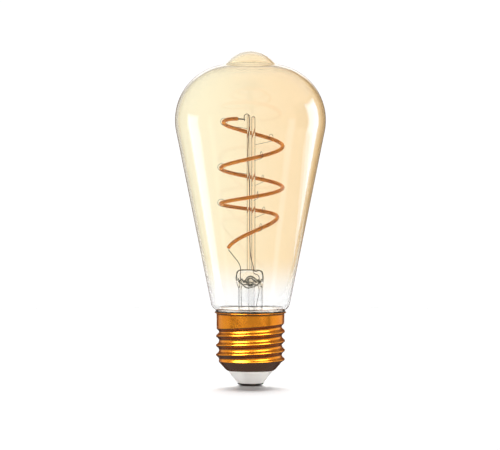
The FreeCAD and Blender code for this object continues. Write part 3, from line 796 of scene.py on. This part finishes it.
def make_press_seam():
    """Dark folds where the stem was pinched shut: arch, sagging edges, zigzags and ring,
    and an outline that is painted shade along the press block's edge.
    """
    arch = [(-2.6, 39.9), (-1.9, 40.4), (-1.2, 41.5), (0.0, 42.0), (1.1, 41.6), (1.8, 41.1), (3.3, 39.9)]
    sag = [(-3.7, 39.4), (-3.0, 38.6), (-2.2, 37.9), (-0.9, 37.5), (1.2, 38.0), (3.4, 38.7)]
    left_zigzag = [(-4.7, 41.3), (-4.1, 40.2), (-3.3, 40.9), (-2.5, 39.7), (-1.6, 40.3)]
    right_zigzag = [(1.5, 40.7), (2.2, 39.6), (3.0, 40.7), (3.7, 39.7), (4.2, 41.0)]
    edge = [(-4.5, 40.3), (-3.6, 39.0), (-2.4, 38.7), (-1.2, 39.0)]
    edge += [(0.0, 38.4), (1.4, 39.0), (2.6, 38.6), (4.0, 40.0)]
    # Painted shade: the outline strand draws a dark line along the press block's edge.
    outline = [(-5.1, 40.2), (-5.3, 42.2), (-4.9, 43.7), (-3.9, 44.3), (-2.0, 44.4), (0.6, 44.35)]
    outline += [(2.0, 43.9), (3.3, 44.2), (4.3, 43.6), (4.75, 42.2), (4.6, 40.2)]
    ring_radius, ring_height, ring_turn = 1.2, 40.1, 0.524
    ring = []
    for step in range(12):
        angle = step * ring_turn
        ring.append((ring_radius * math.cos(angle), ring_height + ring_radius * math.sin(angle)))
    strands = []
    for fold in (arch, sag, left_zigzag, right_zigzag, edge, outline, ring):
        path = through([(x, fold_depth, height) for x, height in fold], 8)
        strands.append(tube(path, fold_wire, 10))
    piece("press_seam", joined(strands), SEAM_GLASS, ["stem_flare_tube"])


def make_exhaust_tube():
    low, high = extent("exhaust_tube")
    bore = exhaust_radius - exhaust_wall
    outline = [(0.0, low.z), (0.3, low.z + 0.05), (0.7, low.z + 1.0), (1.1, low.z + 2.2)]
    outline += along((exhaust_radius, low.z + 3.2), (exhaust_radius, high.z), 30)
    outline += [(exhaust_radius, high.z), (bore, high.z)]
    outline += along((bore, high.z - 0.1), (bore, low.z + 3.2), 30)
    outline += [(0.6, low.z + 2.2), (0.0, low.z + 1.4)]
    vertices, faces = lathe(outline, 64)
    moved = [Vector(vertex) + Vector((exhaust_x, 0, 0)) for vertex in vertices]
    piece(
        "pump_tube", (moved, faces), FINISHES["clear_glass"], ["exhaust_tube"]
    )


def make_rod(name, node, place):
    """A glass rod whose upper end was melted round."""
    x, y, radius = place
    low, high = extent(node)
    steps = 60
    path = [Vector((x, y, low.z + (high.z - low.z) * step / steps)) for step in range(steps + 1)]
    piece(name, tube(path, radius, 40), ROD_GLASS, [node])


# ---- filament ----
def filament_point(turn):
    """Centre line of the filament, counted in turns down from the first left-hand bend."""
    angle = math.pi * (1 - 2 * turn)
    start_pull = max(0.0, start_inset_to - turn) / (start_inset_to - helix_start)
    end_pull = smooth_step(turn, end_inset_from, end_inset_to)
    pull = start_inset * start_pull**start_inset_power
    radius = helix_radius * (1 - pull - end_inset * end_pull)
    height = helix_top - helix_drop * turn + helix_gather * turn**2
    height -= start_droop * max(0.0, -turn) ** 2
    height -= end_droop * max(0.0, turn - end_droop_from) ** 2
    return Vector(
        (filament_centre_x + radius * math.cos(angle), radius * math.sin(angle), height)
    )


def filament_heading(turn):
    step = 0.001
    return (filament_point(turn + step) - filament_point(turn - step)).normalized()


def make_filament():
    """Coating along the helix, slightly lumpy.

    The lumps are not seeded, so the surface differs by a few hundredths of a millimetre each run.
    """
    steps = 720
    path = [
        filament_point(helix_start + (helix_end - helix_start) * step / steps)
        for step in range(steps + 1)
    ]
    vertices, faces = tube(path, filament_radius, 28)
    lumpy = []
    for vertex in vertices:
        lumpy.append(vertex + noise.noise_vector(vertex * 0.45) * filament_lump)
    piece(
        "filament",
        (lumpy, faces),
        FINISHES["filament_silicone"],
        ["filament_coating"],
    )


def make_terminal(name, node, turn, direction, length):
    """Crimped metal end with its round pin."""
    start = filament_point(turn)
    heading = filament_heading(turn) * direction
    pin = tube([start + heading * length * step / 6 for step in range(7)], pin_radius, 16)
    crimp = tube([start - heading * 0.2, start, start + heading * 0.3], crimp_radius, 20)
    piece(
        name, joined([pin, crimp]), FINISHES["lead_metal"], [node]
    )


def make_hook(number, turn):
    """Fine wire from a rod to an open loop round the filament."""
    centre = filament_point(turn)
    heading = filament_heading(turn)
    outward = Vector((centre.x - filament_centre_x, centre.y, 0))
    outward = (outward - heading * outward.dot(heading)).normalized()
    x, y, rod_radius = left_rod if centre.x < 0 else right_rod
    loop_low = centre - Vector((0, 0, filament_radius + hook_wire + hook_clearance))
    away = Vector((loop_low.x - x, loop_low.y - y, 0)).normalized()
    start = Vector((x, y, loop_low.z - hook_rise)) + away * rod_radius
    run = (loop_low - start).normalized()
    up_side = (Vector((0, 0, 1)) - run * run.z).normalized()
    loop_centre = loop_low + up_side * hook_loop
    path = [Vector(point) for point in along(start, loop_low, 12)]
    steps = 40
    for step in range(steps + 1):
        swing = math.radians(hook_sweep * step / steps)
        across = run * math.sin(swing) - up_side * math.cos(swing)
        path.append(loop_centre + across * hook_loop)
    name = f"support_hook_{number}"
    piece(
        f"hook_{number}", tube(path, hook_wire, 10), FINISHES["hook_wire"], [name]
    )


# ---- wires ----
def wire(name, node, points, radius, finish):
    """A wire that bends smoothly through its points."""
    piece(name, tube(through(points, 12), radius), FINISHES[finish], [node])


def make_wires():
    front = -left_rod[2] - lead_wire - 0.05
    upper_pin = filament_point(helix_start) - filament_heading(helix_start) * (top_pin - lead_wire)
    behind_pin = upper_pin.y + 0.5
    lower_pin = filament_point(helix_end) + filament_heading(helix_end) * bottom_pin
    wire(
        "long_lead",
        "long_lead_wire",
        [
            (1.19, seal_y, press_top - 0.4),
            (1.08, seal_y, press_top + 1.2),
            (0.2, front, 49.2),
            (-0.19, front, 55.0),
            (-0.35, front, 75.0),
            (-0.95, front, 88.0),
            (-0.55, front, 99.0),
            (-0.6, front, 103.0),
            (-1.25, (front + behind_pin) / 2, 103.95),
            (upper_pin.x - 0.1, behind_pin, 103.3),
            (upper_pin.x, behind_pin, upper_pin.z - 0.7),
        ],
        lead_wire,
        "lead_metal",
    )
    wire(
        "short_lead",
        "short_lead_wire",
        [
            (-3.75, 0, press_top - 0.8),
            (-3.9, -0.2, press_top + 1.1),
            (-4.7, lower_pin.y * 0.4, 47.5),
            (-6.3, lower_pin.y * 0.8, 49.6),
            (lower_pin.x + 0.1, lower_pin.y, lower_pin.z - 0.5),
        ],
        lead_wire,
        "lead_metal",
    )
    wire(
        "left_seal",
        "seal_wire_left",
        [(-3.75, 0, press_top - 0.85), (-3.75, 0, 41.5), (-3.6, 0, 36.5)],
        seal_wire,
        "seal_copper",
    )
    wire(
        "right_seal",
        "seal_wire_right",
        [
            (1.19, seal_y, press_top - 0.45),
            (1.45, seal_y * 0.9, 43.1),
            (2.8, seal_y * 0.5, 42.4),
            (3.25, 0, 41.0),
            (3.3, 0, 35.9),
        ],
        seal_wire,
        "seal_copper",
    )
    wire(
        "left_tail",
        "outer_lead_left",
        [
            (-3.6, 0, 36.5),
            (-3.35, 0, 26.0),
            (-5.2, -0.5, 22.2),
            (-7.4, -1.0, 18.6),
            (-7.6, -1.0, 13.1),
        ],
        thin_wire,
        "lead_metal",
    )
    wire(
        "right_tail",
        "outer_lead_right",
        [(3.3, 0, 35.9), (2.15, 0, 28.4), (4.5, -0.5, 23.8), (7.0, -1.0, 18.6), (7.0, -1.0, 13.1)],
        thin_wire,
        "lead_metal",
    )


# ---- studio ----
def softbox(name, azimuth, elevation, width, height, radiance, receivers, fills=False, cool=0.0):
    """A lamp card with soft edges, aimed at the middle of the bulb and lighting only its receivers.

    Azimuth is counted from the camera's side (-Y) towards +X, in degrees. A card that fills
    lights matt surfaces; the others are seen only in reflections. Cool takes red out of the light.
    """
    distance, layers, feather, gap = 700.0, 4, 36.0, 4.0
    for layer in range(layers):
        card = bpy.data.lights.new(f"{name}_{layer}", "AREA")
        card.shape = "RECTANGLE"
        card.size = (width - layer * feather) * MM
        card.size_y = (height - layer * feather) * MM
        card.energy = radiance / layers * math.pi * card.size * card.size_y
        card.color = (1 - cool, 1 - cool / 2, 1)
        hang(card, azimuth, elevation, distance + layer * gap, receivers, fills)


def hang(lamp, azimuth, elevation, distance, receivers, fills):
    """Puts a lamp card in its place."""
    holder = bpy.data.objects.new(lamp.name, lamp)
    turn, rise = math.radians(azimuth), math.radians(elevation)
    away = Vector(
        (math.sin(turn) * math.cos(rise), -math.cos(turn) * math.cos(rise), math.sin(rise))
    )
    middle = Vector((0, 0, bulb_height / 2)) * MM
    holder.location = middle + away * distance * MM
    holder.rotation_mode = "QUATERNION"
    holder.rotation_quaternion = away.to_track_quat("Z", "Y")
    holder.visible_camera = False
    holder.visible_diffuse = fills
    holder.visible_glossy = not fills
    holder.visible_transmission = False
    holder.light_linking.receiver_collection = receivers
    bpy.context.scene.collection.objects.link(holder)


def group(name, members):
    """A collection for light linking, kept out of the scene's own tree."""
    collection = bpy.data.collections.new(name)
    for member in members:
        collection.objects.link(member)
    return collection


def sun(name, toward, energy, angle, receivers, blockers=None):
    """A broad sun shining from the direction toward, seen by no camera or reflection."""
    lamp = bpy.data.lights.new(name, "SUN")
    lamp.energy = energy
    lamp.angle = math.radians(angle)
    holder = bpy.data.objects.new(name, lamp)
    holder.rotation_mode = "QUATERNION"
    holder.rotation_quaternion = Vector(toward).to_track_quat("Z", "Y")
    holder.visible_glossy = False
    holder.visible_transmission = False
    holder.light_linking.receiver_collection = receivers
    holder.light_linking.blocker_collection = blockers
    bpy.context.scene.collection.objects.link(holder)


def make_lamps(made, floor):
    """Lamps for the glass, brass, insulator, inside, cement and the floor's shadow.

    A softbox takes azimuth, elevation, width, height and radiance, in that order.
    """
    glass = group("lit_glass", [made["envelope"]])
    metal = group("lit_shell", [made["shell"]])
    white = group("lit_white", [made["insulator"], made["envelope"]])
    softbox("key_left", -98, -8, 350, 480, 5.2, glass, cool=0.6)
    softbox("rim_right", 112, 5, 400, 500, 6.5, glass, cool=0.6)
    softbox("line_left", -63, -12, 160, 620, 0.7, glass)
    softbox("band_right", 65, -14, 200, 560, 1.6, glass, cool=0.4)
    softbox("shoulder_light", 180, 18, 460, 200, 1.6, glass)
    softbox("wrap_front", 0, 20, 1500, 640, 0.95, metal)
    softbox("wrap_left", -105, 4, 1000, 420, 0.6, metal)
    softbox("wrap_right", 105, 4, 1000, 420, 0.8, metal)
    softbox("metal_left", -46, 38, 580, 700, 12.0, metal)
    softbox("metal_right", 51, 38, 620, 640, 5.4, metal)
    softbox("collar_right", 50, 2, 320, 200, 1.3, metal)
    softbox("white_front", 0, -2, 900, 150, 11.0, white, fills=True)
    sun("inner_sun", (0, 0.95, 1), 4.0, 40, group("lit_pieces", made.values()))
    cement = group("lit_cement", [made["cement_ring"]])
    sun("cement_sun", (0, -1, 0.35), 9.0, 30, cement, cement)
    foot = group("shadow_casters", [made["insulator"], made["contact"]])
    sun("floor_sun", (0, 1, 0.34), 8.9, 36, group("lit_floor", [floor]), foot)


def make_world():
    """White to the eye, soft for lighting, and a dim studio in reflections.

    Through glass it is white with a tan and a dark flag. How many surfaces a ray has passed
    decides whether it sees them, so they tint the edges of the glass more than its middle.
    """
    world = bpy.data.worlds.new("studio")
    bpy.context.scene.world = world
    world.use_nodes = True
    tree = world.node_tree
    tree.nodes.clear()

    def add(kind):
        return tree.nodes.new(kind)

    def light(strength, colour=None, plain=(1, 1, 1)):
        node = add("ShaderNodeBackground")
        node.inputs["Strength"].default_value = strength
        if colour:
            tree.links.new(colour, node.inputs["Color"])
        else:
            node.inputs["Color"].default_value = (*plain, 1)
        return node.outputs["Background"]

    def span(value, low, high):
        node = add("ShaderNodeMapRange")
        node.interpolation_type = "SMOOTHSTEP"
        tree.links.new(value, node.inputs["Value"])
        node.inputs["From Min"].default_value = low
        node.inputs["From Max"].default_value = high
        return node.outputs["Result"]

    def combined(operation, first, second):
        node = add("ShaderNodeMath")
        node.operation = operation
        tree.links.new(first, node.inputs[0])
        tree.links.new(second, node.inputs[1])
        return node.outputs["Value"]

    def product(first, second):
        return combined("MULTIPLY", first, second)

    def mixed(factor, first, second):
        node = add("ShaderNodeMixShader")
        tree.links.new(factor, node.inputs["Fac"])
        tree.links.new(first, node.inputs[1])
        tree.links.new(second, node.inputs[2])
        return node.outputs["Shader"]

    def ramp(value, low, high, stops):
        scaled = add("ShaderNodeMapRange")
        tree.links.new(value, scaled.inputs["Value"])
        scaled.inputs["From Min"].default_value = low
        scaled.inputs["From Max"].default_value = high
        node = add("ShaderNodeValToRGB")
        tree.links.new(scaled.outputs["Result"], node.inputs["Fac"])
        elements = node.color_ramp.elements
        for index, (position, grey) in enumerate(stops):
            element = elements[index] if index < 2 else elements.new(position)
            element.position = position
            element.color = (grey, grey, grey, 1)
        return node.outputs["Color"]

    white, tan, dark, brown = 1.05, (0.80, 0.64, 0.42), (0.14, 0.08, 0.055), (0.30, 0.17, 0.12)
    direction = add("ShaderNodeSeparateXYZ")
    tree.links.new(add("ShaderNodeTexCoord").outputs["Generated"], direction.inputs["Vector"])
    rise = direction.outputs["Z"]
    sideways = direction.outputs["X"]
    kind = add("ShaderNodeLightPath").outputs
    studio = ramp(
        rise,
        -1.0,
        1.0,
        [(0.0, 0.30), (1.0, 0.40), (0.40, 0.30), (0.47, 0.22), (0.56, 0.26), (0.68, 0.40)],
    )
    depth = direction.outputs["Y"]
    level = product(span(rise, -0.5, -0.35), span(rise, 0.5, 0.35))
    behind = product(span(depth, 0.0, 0.3), level)
    outer_walls = span(kind["Transmission Depth"], 5.2, 4.8)
    one_wall = span(kind["Transmission Depth"], 3.2, 2.8)
    narrow = combined("MAXIMUM", span(sideways, 0.40, 0.32), one_wall)
    tan_side = product(product(span(sideways, 0.12, 0.20), behind), outer_walls)
    tan_side = product(tan_side, narrow)
    across = product(span(depth, -0.3, -0.2), span(depth, 0.3, 0.2))
    dark_side = product(product(span(sideways, 0.55, 0.65), across), span(rise, 0.5, 0.35))
    dark_side = product(dark_side, one_wall)
    see_through = mixed(tan_side, light(white), light(1.0, None, tan))
    see_through = mixed(dark_side, see_through, light(1.0, None, dark))
    reflected = mixed(span(depth, 0.55, 0.85), light(1.0, studio), light(0.5, None, brown))
    lit = mixed(kind["Is Glossy Ray"], light(0.34), reflected)
    lit = mixed(kind["Is Transmission Ray"], lit, see_through)
    lit = mixed(kind["Is Camera Ray"], lit, light(white))
    output = add("ShaderNodeOutputWorld")
    tree.links.new(lit, output.inputs["Surface"])


def make_floor():
    """Pale round floor that the contact stands on."""
    radius, steps = 480.0, 96
    mesh = bpy.data.meshes.new("floor")
    shape = bmesh.new()
    bmesh.ops.create_circle(shape, cap_ends=True, segments=steps, radius=radius * MM)
    shape.to_mesh(mesh)
    shape.free()
    floor = bpy.data.objects.new("floor", mesh)
    floor.location.z = CAD_BOX[0][2]
    bpy.context.scene.collection.objects.link(floor)
    look = Look("pale_floor", (0.86, 0.86, 0.86), 1.0)
    look.set(**{"Specular IOR Level": 0.0})
    mesh.materials.append(look.material)
    floor.visible_glossy = False
    return floor


def make_camera():
    """Camera far back and a little above the bulb's top, aimed at its middle."""
    distance, eye_height, aim_height, picture_width = 1600.0, 130.0, 61.5, 191.1
    sideways = -0.17
    data = bpy.data.cameras.new("camera")
    camera = bpy.data.objects.new("camera", data)
    eye = Vector((sideways, -distance, eye_height))
    aim = Vector((sideways, 0, aim_height))
    data.sensor_width = 36.0
    data.lens = data.sensor_width * (aim - eye).length / picture_width
    data.clip_end = 50.0
    camera.location = eye * MM
    camera.rotation_mode = "QUATERNION"
    camera.rotation_quaternion = (aim - eye).to_track_quat("-Z", "Y")
    bpy.context.scene.collection.objects.link(camera)
    bpy.context.scene.camera = camera


def make_pieces():
    make_envelope()
    make_shell()
    make_insulator()
    make_contact()
    make_cement()
    make_stem()
    make_press_seam()
    make_exhaust_tube()
    make_rod("rod_left", "support_rod_left", left_rod)
    make_rod("rod_right", "support_rod_right", right_rod)
    make_filament()
    make_terminal("terminal_top", "filament_terminal_top", helix_start, -1, top_pin)
    make_terminal("terminal_bottom", "filament_terminal_bottom", helix_end, 1, bottom_pin)
    for number, turn in enumerate(hook_turns, 1):
        make_hook(number, turn)
    make_wires()


make_camera()
make_world()
finish_carried_nodes()
make_pieces()
make_lamps(PIECES, make_floor())
bpy.context.scene.view_settings.view_transform = "Standard"
